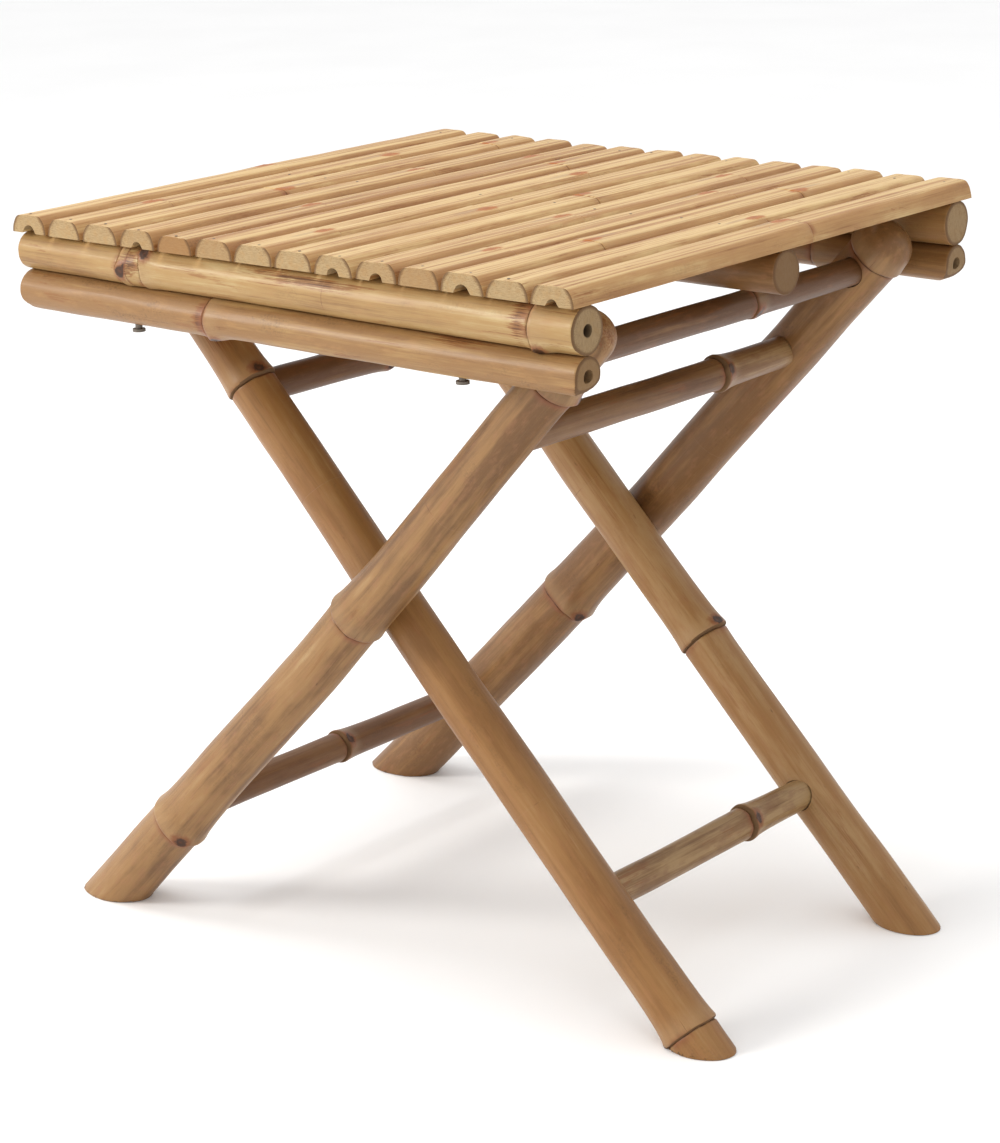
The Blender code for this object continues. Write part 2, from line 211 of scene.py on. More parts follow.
def bamboo(name, skin, split=False):
    """Lacquered bamboo. split adds what sanding shows on the crown of a half culm."""
    finish = Finish(name, Coat_Roughness=0.24, IOR=1.40, Coat_IOR=1.45, Specular_IOR_Level=0.4)
    bench = finish.stretched(finish.attribute("bench"), (1000.0, 1000.0, 1000.0))
    from_node, scar_u, scar_v = finish.parts(finish.attribute("joint"))
    depth, tone, warmth = finish.parts(finish.attribute("stock"))
    cut = finish.attribute("cut", "Fac")

    # Long fibres: the noise is drawn out along the culm and wanders a little with its length
    drift = finish.grain(finish.stretched(bench, (0.02, 0.02, 0.012)), 1.0, 2.0)
    wander = finish.node("ShaderNodeCombineXYZ", None, {0: drift * 3.0, 1: drift * 2.0})
    fibre_space = finish.shifted(bench, wander)
    broad = finish.grain(finish.stretched(fibre_space, (0.16, 0.16, 0.004)), 1.0, 3.0, 0.55)
    fine = finish.grain(finish.stretched(fibre_space, (1.1, 1.1, 0.018)), 1.0, 4.0, 0.6)
    hair = finish.grain(finish.stretched(fibre_space, (4.5, 4.5, 0.05)), 1.0, 2.0, 0.6)
    cloud = finish.grain(finish.stretched(bench, (0.045, 0.045, 0.012)), 1.0, 4.0, 0.6)
    mottle = finish.grain(finish.stretched(bench, (0.2, 0.2, 0.07)), 1.0, 4.0, 0.62)

    thready = skin["thready"]
    shade = broad * 0.60 + (fine - 0.5) * 0.6 * thready + cloud * 0.75 + (tone - 0.5) * 0.5 - 0.025
    colour = finish.blend(shade.ramp(0.38, 0.62), skin["light"], skin["middle"])
    colour = finish.blend(shade.ramp(0.60, 0.86), colour, skin["dark"])
    colour = finish.blend(mottle.ramp(0.48, 0.72) * 0.45, colour, skin["blush"])
    colour = finish.blend(warmth * (0.45 + 0.6 * cloud), colour, skin["amber"])
    streaks = fine.ramp(0.56, 0.72) * broad.ramp(0.46, 0.66)
    colour = finish.blend(streaks * thready, colour, skin["streak"])
    colour = finish.blend(hair.ramp(0.58, 0.80) * 0.22, colour, skin["streak"])
    colour = finish.blend((1 - hair).ramp(0.58, 0.80) * 0.30, colour, skin["light"])

    # Scrapes, mildew and small dark flecks
    scrape = finish.grain(finish.stretched(fibre_space, (0.09, 0.09, 0.014)), 1.0, 5.0, 0.68)
    colour = finish.blend(scrape.ramp(0.57, 0.64) * fine.ramp(0.40, 0.58) * thready * 1.2, colour, SCUFF)
    damp = finish.grain(finish.stretched(bench, (0.06, 0.06, 0.02)), 1.0, 6.0, 0.7)
    damp = damp.ramp(0.50, 0.70) * finish.grain(bench, 0.55, 3.0, 0.7).ramp(0.40, 0.66)
    colour = finish.blend(damp * 0.45 * tone, colour, MILDEW)
    graze = finish.attribute("graze", "Fac")
    torn = graze * 0.9 + (fine - 0.5) * 2.0 + (mottle - 0.5) * 0.7
    colour = finish.blend(torn.ramp(0.45, 0.70) * 0.75, colour, SCUFF)
    colour = finish.blend(torn.ramp(0.78, 1.00) * 0.7, colour, NODE_LINE)
    fleck = finish.cells(finish.stretched(bench, (0.11, 0.11, 0.035)), 1.0)
    spots = (1 - fleck.ramp(0.03, 0.10)) * mottle.ramp(0.52, 0.66)
    colour = finish.blend(spots * 0.65, colour, skin["streak"])

    # Nodes: a pale swollen collar, a rusty tinge and the dark scar line below it
    ragged = from_node * 1000 + (mottle - 0.5) * 1.2
    glow = ragged.ramp(0.4, 2.5) * ragged.ramp(20.0, 5.0)
    rust = ragged.bump(-1.0, 6.0) * cloud.ramp(0.36, 0.58)
    line = ragged.bump(0.0, 0.9)
    around = 1.0
    if split:
        around = cloud.ramp(0.46, 0.60)
    colour = finish.blend(glow * 0.30 * around, colour, NODE_GLOW)
    colour = finish.blend(rust * 0.70 * around, colour, NODE_RUST)
    strength = (0.5 + 0.5 * mottle.ramp(0.38, 0.56)) * (0.3 if split else 1.0)
    colour = finish.blend(line * strength * around, colour, NODE_LINE)

    # Branch scars above a node: a dark eye in a rusty ring
    rough_eye = (finish.grain(bench, 0.30, 4.0, 0.65) - 0.5) * 1.7
    if split:
        colour = crown(finish, colour, skin, bench, scar_u, scar_v, depth, hair, rough_eye)
    else:
        eye = (scar_u * scar_u * 1e6 / 20.0 + scar_v * scar_v * 1e6 / 12.0) ** 0.5 + rough_eye
        colour = finish.blend(eye.ramp(2.3, 1.2) * 0.75, colour, SCAR_RUST)
        colour = finish.blend(eye.ramp(1.25, 0.75) * 0.9, colour, SCAR_DARK)
        colour = finish.blend(eye.ramp(0.45, 0.1) * 0.25, colour, SCAR_RUST)

    # Cut ends: pale ground, dark fibre bundles that crowd towards the skin, a brown rim, and painted shade
    # down a hollow pith
    bundles = finish.cells(finish.stretched(bench, (1.0, 1.0, 0.0)), 1.15)
    crowd = 0.10 + 0.24 * depth.ramp(0.35, 1.0)
    dots = (1 - (bundles / crowd).ramp(0.7, 1.2)) * 0.55
    saw = finish.grain(finish.stretched(bench, (0.25, 2.6, 0.4)), 1.0, 3.0, 0.6)
    end = finish.blend(saw.ramp(0.3, 0.75) * 0.45, CUT_PALE, CUT_EDGE)
    end = finish.blend(mottle.ramp(0.45, 0.7) * 0.35, end, skin["middle"])
    end = finish.blend(dots, end, CUT_DOT)
    # ends of dark-toned culms are darkened: partly their own weathering, partly painted shade for ends that
    # sit in shade
    end = finish.blend(tone.ramp(0.4, 1.0) * 0.75, end, skin["dark"])
    end = finish.blend(0.0 if split else 0.35, end, CUT_EDGE)
    end = finish.blend(depth.ramp(0.86, 0.99) * 0.85, end, CUT_EDGE)
    # painted shade: the inside of a hollow end is darkened for the shade down in the hole
    end = finish.blend(depth.ramp(0.34, 0.20), end, HOLLOW_PAINTED_SHADE)
    colour = finish.blend(cut, colour, end)

    rough = skin["gloss"] + fine * 0.14 + mottle * 0.10 + cut * 0.30 + line * 0.2
    height = fine * 0.45 + hair * 0.30 + mottle * 0.25 - line * 0.9 - streaks * 0.2
    height = height * (1 - cut) + cut * (saw * 0.9 - dots * 0.5)
    finish.feed(Base_Color=colour, Roughness=rough, Coat_Weight=(0.10 if split else 0.18) * (1 - cut),
                Normal=finish.relief(height, 0.30 * MM, 0.75))
    return finish.material


def crown(finish, colour, skin, bench, scar_u, scar_v, depth, hair, rough_eye):
    """The sanded crown of a slat: bare pale fibre, and a knot with a grey tail at each node."""
    bare = (1 - depth).ramp(0.004, 0.06)
    ribbon = finish.grain(finish.stretched(bench, (0.30, 0.10, 0.0035)), 1.0, 3.0, 0.6)
    thread = finish.grain(finish.stretched(bench, (1.3, 0.4, 0.008)), 1.0, 3.0, 0.6)
    cream = ribbon.ramp(0.42, 0.60) * 0.75 + thread.ramp(0.45, 0.65) * 0.25
    colour = finish.blend(bare * cream, colour, skin["light"])
    tan = (1 - ribbon).ramp(0.50, 0.66) * (0.35 + 0.65 * (1 - thread).ramp(0.42, 0.60))
    colour = finish.blend(tan * 0.75, colour, CROWN_TAN)
    dashes = (1 - thread).ramp(0.60, 0.72) * hair.ramp(0.40, 0.60)
    colour = finish.blend(dashes * 0.5, colour, skin["streak"])
    across = scar_u * 1000
    along = scar_v * 1000
    tail_u, tail_v = across - 3.0, along - 16.0
    tail = (tail_u * tail_u / 9.0 + tail_v * tail_v / 330.0) ** 0.5 + rough_eye * 0.3
    colour = finish.blend(tail.ramp(1.1, 0.6) * 0.45, colour, TAIL_GREY)
    knot = (across * across / 26.0 + along * along / 110.0) ** 0.5 + rough_eye * 0.30
    colour = finish.blend(knot.ramp(1.20, 0.70) * 0.90, colour, KNOT)
    return finish.blend(knot.ramp(0.45, 0.15) * 0.40, colour, SCAR_RUST)


def steel():
    """Dull nail steel with specks of rust."""
    finish = Finish("dull_steel", IOR=2.2)
    place = finish.node("ShaderNodeTexCoord", None, None, 3)
    stain = finish.grain(place, 900.0, 4.0, 0.65)
    colour = finish.blend(stain.ramp(0.45, 0.70), paint(128, 120, 110), paint(92, 62, 42))
    finish.feed(Base_Color=colour, Metallic=1 - 0.7 * stain.ramp(0.45, 0.70),
                Roughness=0.36 + 0.3 * stain, Normal=finish.relief(stain, 0.05 * MM, 0.6))
    return finish.material


def dowel_wood():
    """Plain split-bamboo dowel, for the hidden pivots."""
    finish = Finish("dowel_wood")
    place = finish.node("ShaderNodeTexCoord", None, None, 3)
    fibre = finish.grain(finish.stretched(place, (1500.0, 30.0, 1500.0)), 1.0, 3.0, 0.6)
    colour = finish.blend(fibre.ramp(0.35, 0.65), paint(206, 170, 118), paint(158, 112, 66))
    finish.feed(Base_Color=colour, Roughness=0.5 + 0.15 * fibre,
                Normal=finish.relief(fibre, 0.1 * MM, 0.6))
    return finish.material


def studio_floor():
    finish = Finish("studio_floor", Roughness=0.85)
    place = finish.node("ShaderNodeTexCoord", None, None, 3)
    tone = finish.grain(place, 3.0, 3.0)
    finish.feed(Base_Color=finish.blend(tone.ramp(0.3, 0.7), (0.95, 0.95, 0.95, 1), (0.93, 0.93, 0.93, 1)))
    return finish.material


# ---------------------------------------------------------------------------------------------
# The bench: culms grown ring by ring
# ---------------------------------------------------------------------------------------------

CULM_SIDES = 64
# Grazed or stained places: distance from the start, direction, half length and half width (rad)
GRAZES = {
    "front_upper_rail": ((0.275, 0.95, 0.060, 0.42), (0.112, 1.3, 0.012, 0.9),
                         (0.454, 0.6, 0.008, 2.5)),
    "front_lower_rail": ((0.176, 1.6, 0.006, 1.2), (0.400, 0.4, 0.030, 0.4)),
    "outer_leg_front": ((0.737, 0.0, 0.022, 6.0),),
    "outer_leg_rear": ((0.560, 0.1, 0.050, 0.35), (0.470, 2.4, 0.035, 0.5)),
    "inner_leg_front": ((0.640, 2.2, 0.022, 0.5),),
}
RING_STEP = 7 * MM
NEAR_NODE = (-14, -9, -6, -4, -2.6, -1.6, -1.0, -0.6, -0.25, 0, 0.25, 0.6, 1.0, 1.6, 2.6, 4, 6, 9, 13, 18)
NEAR_END = (0.0, 0.25, 0.6, 1.1, 2.0, 3.5, 5.5, 8.0, 11.0, 14.0)


class Culm:
    """One length of bamboo: its place in the table and what grew on it."""

    def __init__(self, start, end, radius, top_radius, up, nodes=(), seed=0, grows=1, **extra):
        self.start = Vector(start)
        self.axis = (Vector(end) - self.start).normalized()
        self.length = (Vector(end) - self.start).length
        self.radius = radius
        self.top_radius = top_radius
        self.side = Vector(up)
        self.nodes = nodes              # (distance from the start, angle of the branch scar)
        self.seed = seed
        self.grows = grows              # +1 when the shoot grew from start to end
        self.kink = extra.get("kink", 0.6 * MM)
        self.tone = extra.get("tone", 0.5)
        self.warmth = extra.get("warmth", 0.5)
        self.swell = extra.get("swell", 1.0)
        self.scar = extra.get("scar", 1.0)
        self.rim = extra.get("rim", 0.8 * MM)
        self.core = extra.get("core", 0.985)        # share of the radius inside which it is cut
        self.grazes = GRAZES.get(extra.get("name"), ())
        self.dome = extra.get("dome", 0.0)          # height of a rounded far end
        self.centre = extra.get("centre")           # its own centre line, where it is not straight
        self.contact = extra.get("contact")         # (near, far, angle, reach) where it is worn flat
        self.straight_at = []

    def grazed(self, along, angle):
        """1 in the middle of a graze in the skin, 0 away from it."""
        deepest = 0.0
        for place, direction, long, wide in self.grazes:
            off = ((along - place) / long) ** 2 + (turned(angle, direction) / wide) ** 2
            deepest = max(deepest, math.exp(-off))
        return deepest

    def stations(self):
        """Where rings are needed: evenly, and closely at the nodes and the ends."""
        spots = [index * RING_STEP for index in range(int(self.length / RING_STEP) + 1)]
        spots += [offset * MM for offset in NEAR_END]
        spots += [self.length - offset * MM for offset in NEAR_END]
        for place, _ in self.nodes:
            spots = [spot for spot in spots if abs(spot - place) > 17 * MM or spot < 2 * MM]
            spots += [place + self.grows * offset * MM for offset in NEAR_NODE]
        spots = sorted(spot for spot in spots if 0 <= spot <= self.length)
        kept = [spots[0]]
        for spot in spots[1:]:
            if spot - kept[-1] > 0.15 * MM:
                kept.append(spot)
        kept[-1] = self.length
        return kept

    def nearest_node(self, along):
        if not self.nodes:
            return None
        return min(self.nodes, key=lambda node: abs(along - node[0]))

    def node_line(self, place, angle, scar_angle):
        """How far the scar line strays from a flat ring at this angle."""
        wave = noise.noise(Vector((math.cos(angle) * 1.6, math.sin(angle) * 1.6, self.seed + place * 40)))
        dip = math.exp(-(turned(angle, scar_angle) / 0.30) ** 2)
        tilt = math.cos(angle - self.seed * 2.1) * 0.3
        return (wave * 0.7 + tilt - dip * 1.2 * self.scar) * MM * self.grows

    def skin_radius(self, along, angle):
        """Radius of the skin: taper, a slight oval, dents, and the swelling at each node."""
        share = along / self.length
        base = self.radius + (self.top_radius - self.radius) * share
        size = base / (20 * MM)
        oval = 1 + 0.014 * math.cos(2 * (angle - self.seed))
        dent = Vector((math.cos(angle) * 1.1, math.sin(angle) * 1.1, along * 14 + self.seed * 7))
        radius = base * oval + noise.noise(dent) * base * 0.028
        ripple = Vector((math.cos(angle) * 3.5, math.sin(angle) * 3.5, along * 30 + self.seed * 3))
        radius += noise.noise(ripple) * 0.22 * MM
        for place, scar_angle in self.nodes:
            gap = (along - place) * self.grows / MM
            if not -60 < gap < 150:
                continue
            lump = 1 + 0.30 * math.cos(angle - scar_angle) * self.scar
            radius += self.node_swell(gap) * self.swell * MM * size * lump
            off = turned(angle, scar_angle) * base / MM
            sulcus = math.exp(-(off / 5.5) ** 2) * math.exp(-max(gap - 10, 0) / 60) * (gap > 4)
            radius -= 0.9 * MM * sulcus * self.scar * min((gap - 4) / 12, 1)
            bud = math.exp(-(off / 5.5) ** 2 - ((gap - 5.0) / 5.5) ** 2)
            pit = math.exp(-(off / 3.0) ** 2 - ((gap - 5.2) / 2.6) ** 2)
            radius += (2.4 * bud - 2.6 * pit) * MM * self.scar * size
        if self.contact:
            near, far, direction, reach = self.contact
            facing = math.cos(angle - direction)
            if near < along < far and facing > 0.2:
                reach -= self.sideways(along)[1] * math.sin(direction)
                radius = min(radius, reach / facing)
        return radius

    @staticmethod
    def node_swell(gap):
        """Height of the skin by the distance above the scar line, in millimetres."""
        if gap < 0:
            return 0.55 * math.exp(gap / 7) - 1.0 * math.exp(-(gap / 0.9) ** 2)
        lip = 1 - math.exp(-gap / 0.9)
        return lip * (2.1 * math.exp(-gap / 7.5) + 0.9 * math.exp(-gap / 30)) - 0.5 * (1 - lip)

    def end_trim(self, along, radius):
        """What the rounded rim, and a domed top, take off near the ends."""
        trim = 0.0
        for gap in (along,) if self.dome else (along, self.length - along):
            if gap < self.rim:
                trim = max(trim, self.rim - math.sqrt(max(self.rim ** 2 - (self.rim - gap) ** 2, 0)))
        return trim

    def domed(self, point, share):
        """Wrap the far end of the side and the end face over a rounded top."""
        gap = self.length - point.z
        if not self.dome or gap > self.dome:
            return point
        radius = math.hypot(point.x, point.y) / max(share, 1e-6)
        path = (self.dome - gap + (1 - share) * radius) / (self.dome + radius)
        angle = math.pi / 2 * min(path, 1)
        round_share = math.cos(angle) ** 0.85
        scale = round_share / max(share, 1e-6)
        height = self.length - self.dome + self.dome * math.sin(angle)
        return Vector((point.x * scale, point.y * scale, height))

    def sideways(self, along):
        """The culm's slow sway, and its small change of direction at each node."""
        fixed = [(0.0, 0.0), (self.length, 0.0)] + [(spot, 0.0) for spot in self.straight_at]
        moved = []
        for number, (place, _) in enumerate(self.nodes):
            if all(abs(place - spot) > 25 * MM for spot, _ in fixed):
                moved.append((place, self.kink * (1 if (number + self.seed) % 2 else -1)))
        points = sorted(fixed + moved)
        lean = 0.0
        for (low, first), (high, last) in zip(points, points[1:]):
            if low <= along <= high:
                lean = first + (last - first) * (along - low) / (high - low)
        sway = noise.noise(Vector((along * 5, self.seed * 1.9, 0.5)))
        calm = min([abs(along - spot) for spot, _ in fixed]) / (60 * MM)
        return sway * self.kink * 1.5 * min(calm, 1), lean

    def place(self, point):
        """From the bench to the table."""
        along = point.z
        bow, lean = self.sideways(min(max(along, 0), self.length))
        if self.centre:
            bow += self.centre(along)
        across = self.axis.cross(self.side)
        return (self.start + self.axis * along + self.side * (point.x + bow)
                + across * (point.y + lean))


def turned(angle, other):
    """Signed angle between two directions round a culm."""
    return math.remainder(angle - other, 2 * math.pi)


def clear_selection():
    if bpy.context.mode != "OBJECT":
        bpy.ops.object.mode_set(mode="OBJECT")
    bpy.ops.object.select_all(action="DESELECT")


def select_faces(piece, wanted):
    """Select in edit mode the faces that pass a test on their centre and normal."""
    bpy.ops.object.mode_set(mode="OBJECT")
    for vertex in piece.data.vertices:
        vertex.select = False
    for edge in piece.data.edges:
        edge.select = False
    for face in piece.data.polygons:
        face.select = wanted(face.center, face.normal)
    bpy.ops.object.mode_set(mode="EDIT")
    bpy.ops.mesh.select_mode(type="FACE")


def extrude(along):
    bpy.ops.mesh.extrude_region_move(TRANSFORM_OT_translate={"value": (0, 0, along)})


def finish_normals():
    bpy.ops.mesh.select_all(action="SELECT")
    bpy.ops.mesh.normals_make_consistent(inside=False)


def grow_culm(name, culm, pith=(0.0, 0.0)):
    """A whole culm: a disc extruded from ring to ring, its ends inset and hollowed."""
    clear_selection()
    bpy.ops.mesh.primitive_circle_add(vertices=CULM_SIDES, radius=culm.radius, fill_type="NGON")
    piece = bpy.context.object
    piece.name = piece.data.name = name
    bpy.ops.object.mode_set(mode="EDIT")
    spots = culm.stations()
    for low, high in zip(spots, spots[1:]):
        extrude(high - low)
    for end, hollow in zip((culm.length, 0.0), reversed(pith)):
        inward = -1 if end else 1
        select_faces(piece, lambda centre, normal: abs(centre.z - end) < 0.05 * MM)
        rest = culm.radius - (hollow or 1.5 * MM)
        for share in (0.06, 0.14, 0.20, 0.20, 0.20, 0.20):
            bpy.ops.mesh.inset(thickness=rest * share)
        if hollow:
            extrude(inward * 1.0 * MM)
            bpy.ops.transform.resize(value=(0.93, 0.93, 1))
            extrude(inward * 9 * MM)
            bpy.ops.transform.resize(value=(0.75, 0.75, 1))
    finish_normals()
    bpy.ops.object.mode_set(mode="OBJECT")
    return piece


def grow_slat(name, culm, pith, height, floor_cuts=26):
    """A half culm: half a disc, its crown sanded off and a pith groove in its flat side, extruded
    from ring to ring."""
    clear_selection()
    bpy.ops.mesh.primitive_circle_add(vertices=CULM_SIDES, radius=culm.radius, fill_type="NGON")
    piece = bpy.context.object
    piece.name = piece.data.name = name
    bpy.ops.object.mode_set(mode="EDIT")
    bpy.ops.mesh.bisect(plane_co=(0, 0, 0), plane_no=(0, 1, 0), clear_inner=True)
    bpy.ops.object.mode_set(mode="OBJECT")
    for edge in piece.data.edges:
        edge.select = all(abs(piece.data.vertices[end].co.y) < 1e-6 for end in edge.vertices)
    bpy.ops.object.mode_set(mode="EDIT")
    bpy.ops.mesh.select_mode(type="EDGE")
    bpy.ops.mesh.subdivide(number_cuts=floor_cuts)
    bpy.ops.object.mode_set(mode="OBJECT")
    for vertex in piece.data.vertices:
        excess = (vertex.co.y - height) / SHOULDER
        if vertex.co.y < 1e-6 and abs(vertex.co.x) < pith:
            vertex.co.y = math.sqrt(pith ** 2 - vertex.co.x ** 2)
        elif vertex.co.y > 1e-6:
            vertex.co.y = height - SHOULDER * math.log(1 + math.exp(-excess))
    select_faces(piece, lambda centre, normal: True)
    spots = culm.stations()
    for low, high in zip(spots, spots[1:]):
        extrude(high - low)
    for end in (0.0, culm.length):
        select_faces(piece, lambda centre, normal: abs(centre.z - end) < 0.05 * MM)
        bpy.ops.mesh.inset(thickness=0.25 * MM)
        bpy.ops.mesh.inset(thickness=0.5 * MM)
        bpy.ops.mesh.quads_convert_to_tris(ngon_method="BEAUTY")
    finish_normals()
    bpy.ops.object.mode_set(mode="OBJECT")
    return piece


def drill(piece, cutter_radius, start, end, sides=40):
    """Take a round hole out of a piece that still stands on the bench."""
    clear_selection()
    start, end = Vector(start), Vector(end)
    turn = Vector((0, 0, 1)).rotation_difference(end - start).to_euler()
    bpy.ops.mesh.primitive_cylinder_add(vertices=sides, radius=cutter_radius, depth=(end - start).length,
                                        location=(start + end) / 2, rotation=turn)
    bit = bpy.context.object
    hole = piece.modifiers.new("hole", "BOOLEAN")
    hole.operation = "DIFFERENCE"
    hole.solver = "EXACT"
    hole.object = bit
    clear_selection()
    bpy.context.view_layer.objects.active = piece
    piece.select_set(True)
    bpy.ops.object.modifier_apply(modifier=hole.name)
    bpy.data.objects.remove(bit, do_unlink=True)


def label(mesh, name, kind, domain, values, key):
    layer = mesh.attributes.new(name, kind, domain)
    layer.data.foreach_set(key, values)


def hollow_end(along, culm, pith):
    """Whether the nearer end of a whole culm shows its pith."""
    return bool(pith[0] if along < culm.length / 2 else pith[1])


def internode_tone(culm, along):
    """Each length between two nodes has weathered a little differently."""
    passed = sum(1 for place, _ in culm.nodes if along > place)
    return culm.tone + 0.22 * noise.noise(Vector((passed * 3.1, culm.seed * 1.3, 0.7)))


def shape(piece, culm, shaper=None, pith=(0.0, 0.0)):
    """Give a bench piece its natural skin, store what the materials read, and set it in place."""
    mesh = piece.data
    bench, joint, stock, flags, grazes = [], [], [], [], []
    for vertex in mesh.vertices:
        x, y, along = vertex.co
        angle = math.atan2(y, x)
        share = math.hypot(x, y) / culm.radius
        node = culm.nearest_node(along)
        radius = culm.skin_radius(along, angle)
        radius -= culm.end_trim(along, radius)
        shift = 0.0
        gap, off, above = 0.2, 0.2, 0.2
        if node:
            place, scar_angle = node
            gap = (along - place) * culm.grows
            fade = math.exp(-(gap / (14 * MM)) ** 2)
            shift = culm.node_line(place, angle, scar_angle) * fade
            off = turned(angle, scar_angle) * radius
            above = gap - 5 * MM
        point = Vector((math.cos(angle), math.sin(angle), 0)) * radius * share
        point.z = along + (shift if 1 * MM < along < culm.length - 1 * MM else 0.0)
        point = culm.domed(point, share)
        depth = share if hollow_end(along, culm, pith) else max(share, 0.4)
        if culm.dome and along > culm.length / 2:
            depth = 1.0
        if shaper:
            point, depth = shaper(point, depth)
        bench += (point.x, point.y, point.z + culm.seed * 3.7)
        joint += (max(min(gap, 0.2), -0.2), off, above)
        stock += (depth, internode_tone(culm, along), culm.warmth)
        grazes.append(culm.grazed(along, angle))
        vertex.co = culm.place(point)
        if culm.start.z < 0 and vertex.co.z < 0.7 * MM:
            vertex.co.z = 0.0
    mesh.update()
    for face in mesh.polygons:
        inside = max(stock[3 * corner] for corner in face.vertices) < culm.core
        rounded = culm.dome and face.normal.dot(culm.axis) > 0
        square = abs(face.normal.dot(culm.axis)) > 0.55 and not rounded
        flags.append(1.0 if inside or square else 0.0)
    label(mesh, "bench", "FLOAT_VECTOR", "POINT", bench, "vector")
    label(mesh, "joint", "FLOAT_VECTOR", "POINT", joint, "vector")
    label(mesh, "stock", "FLOAT_VECTOR", "POINT", stock, "vector")
    label(mesh, "graze", "FLOAT", "POINT", grazes, "value")
    label(mesh, "cut", "FLOAT", "FACE", flags, "value")


def deliver(piece, body, node, material, sharp=40):
    """Material, shading and the piece's place in the moving model."""
    clear_selection()
    piece.data.materials.clear()
    piece.data.materials.append(material)
    bpy.context.view_layer.objects.active = piece
    piece.select_set(True)
    bpy.ops.object.shade_smooth_by_angle(angle=math.radians(sharp))
    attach(piece, body)
    if node:
        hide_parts(node)


# ---------------------------------------------------------------------------------------------
# The top
# ---------------------------------------------------------------------------------------------

# For each slat from the left: its nodes' distances from the front end, the radius of the pith
# groove that shows in its front end (0 where a node closes it), its tone (0 pale, 1 dark), its
# warmth, its width against the pitch and its height, in millimetres
SLATS = [
    ((0.254,), 6.0, 0.50, 0.20, 0.97, 12.9),
    ((0.095, 0.345), 0, 0.47, 0.15, 0.93, 12.6),
    ((0.175, 0.420), 0, 0.45, 0.20, 0.93, 12.9),
    ((0.299,), 4.8, 0.66, 0.35, 0.96, 12.8),
    ((0.147, 0.400), 0, 1.00, 0.45, 0.94, 11.7),
    ((0.369,), 0, 0.61, 0.30, 0.95, 12.6),
    ((0.073, 0.348), 0, 0.34, 0.15, 0.98, 12.8),
    ((0.198,), 0, 0.28, 0.10, 0.97, 12.4),
    ((0.267,), 5.4, 0.23, 0.10, 0.93, 13.0),
    ((0.201, 0.394), 5.6, 0.58, 0.30, 0.99, 12.7),
    ((0.081, 0.330), 0, 0.66, 0.35, 1.00, 12.3),
    ((0.129, 0.361), 6.2, 0.42, 0.25, 0.98, 12.9),
    ((0.265,), 0, 0.26, 0.20, 0.96, 12.4),
    ((0.262,), 4.8, 0.39, 0.30, 1.00, 12.8),
]
SHOULDER = 0.8 * MM
HIDDEN_GROOVE = 4.6 * MM


def slat_shaper(culm, height, notch, rear_open):
    """Plane the crown a little unevenly and close the pith groove at the nodes."""

    def shaper(point, depth):
        closed = 0.0
        for place, _ in culm.nodes:
            closed = max(closed, math.exp(-(abs(point.z - place) / (9 * MM)) ** 4))
        if not notch:
            closed = max(closed, math.exp(-(abs(culm.length - point.z) / (45 * MM)) ** 6))
        if not rear_open:
            closed = max(closed, math.exp(-(abs(point.z) / (45 * MM)) ** 6))
        if depth * culm.radius < (notch or HIDDEN_GROOVE) + 0.12 * MM:
            point.y *= 1 - closed
            return point, 0.5
        planed = noise.noise(Vector((point.x * 40, point.z * 7, culm.seed * 5.1)))
        crowned = planed * 0.35 * MM - 0.5 * MM * (point.x / culm.radius) ** 2
        point.y += crowned * max(point.y / height, 0) ** 3
        return point, max(depth, 0.6)

    return shaper


def make_slats(material):
    for number, (nodes, notch, tone, warmth, width, height) in enumerate(SLATS, 1):
        name = f"slat_{number:02d}"
        low, high = map(Vector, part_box(name))
        length = high.y - low.y + 2.5 * MM * noise.noise(Vector((number * 1.9, 0.2, 3.3))) - 5 * MM
        half = (high.x - low.x) / 2 * width
        start = ((low.x + high.x) / 2, high.y - 1 * MM, low.z)
        end = ((low.x + high.x) / 2, high.y - 1 * MM - length, low.z)
        places = []
        for place in nodes:
            aside = math.radians(90 + 28 * math.sin(number * 2.4 + place * 20))
            places.append((length - place, aside))
        culm = Culm(start, end, half, half * (1 - 0.012 * (number % 3)), (1, 0, 0), places,
                    seed=number, grows=1 if number % 3 else -1, tone=tone, warmth=warmth,
                    swell=0.30, scar=0.0, rim=0.5 * MM, kink=0.0, core=0.55)
        groove = notch * MM or HIDDEN_GROOVE
        piece = grow_slat(name + "_bamboo", culm, groove, height * MM)
        shaper = slat_shaper(culm, height * MM, notch * MM, number % 2 == 0)
        shape(piece, culm, shaper, (groove, groove))
        deliver(piece, "tabletop", name, material, sharp=35)


# name, nodes with their scar angles, growth, tone, warmth, pith radius and radius at left and right
RAILS = [
    ("front_upper_rail", ((0.1010, 1.75), (0.1215, 0.80), (0.462, 2.6)), 1, 0.40, 0.15, (0, 4.0),
     (13.9, 15.9)),
    ("rear_upper_rail", ((0.150, 2.6), (0.448, -2.0)), 1, 0.55, 0.35, (0, 0), (15.4, 15.9)),
    # the middle rail's dark tone is partly painted shade, for the deep shade it sits in under the slats
    ("middle_rail", ((0.210, 3.0), (0.372, 2.2)), -1, 0.90, 0.30, (2.2, 0), (15.9, 15.6)),
    ("front_lower_rail", ((0.180, 2.8),), 1, 0.88, 0.40, (0, 5.6), (14.4, 13.0)),
    ("rear_lower_rail", ((0.120, 2.0), (0.380, -2.8)), 1, 0.60, 0.35, (3.0, 5.0), (13.4, 13.5)),
]
NOSE = 15 * MM


def nose_shaper(culm):
    """Round off the underside of both ends, as on the lower rails."""

    def shaper(point, depth):
        gap = min(point.z, culm.length - point.z)
        rise = culm.radius + point.x
        if gap < NOSE and rise < NOSE:
            out = math.hypot(NOSE - gap, NOSE - rise)
            if out > NOSE:
                gap = NOSE - (NOSE - gap) * NOSE / out
                point.x = NOSE - (NOSE - rise) * NOSE / out - culm.radius
                point.z = gap if point.z < culm.length / 2 else culm.length - gap
        return point, depth

    return shaper


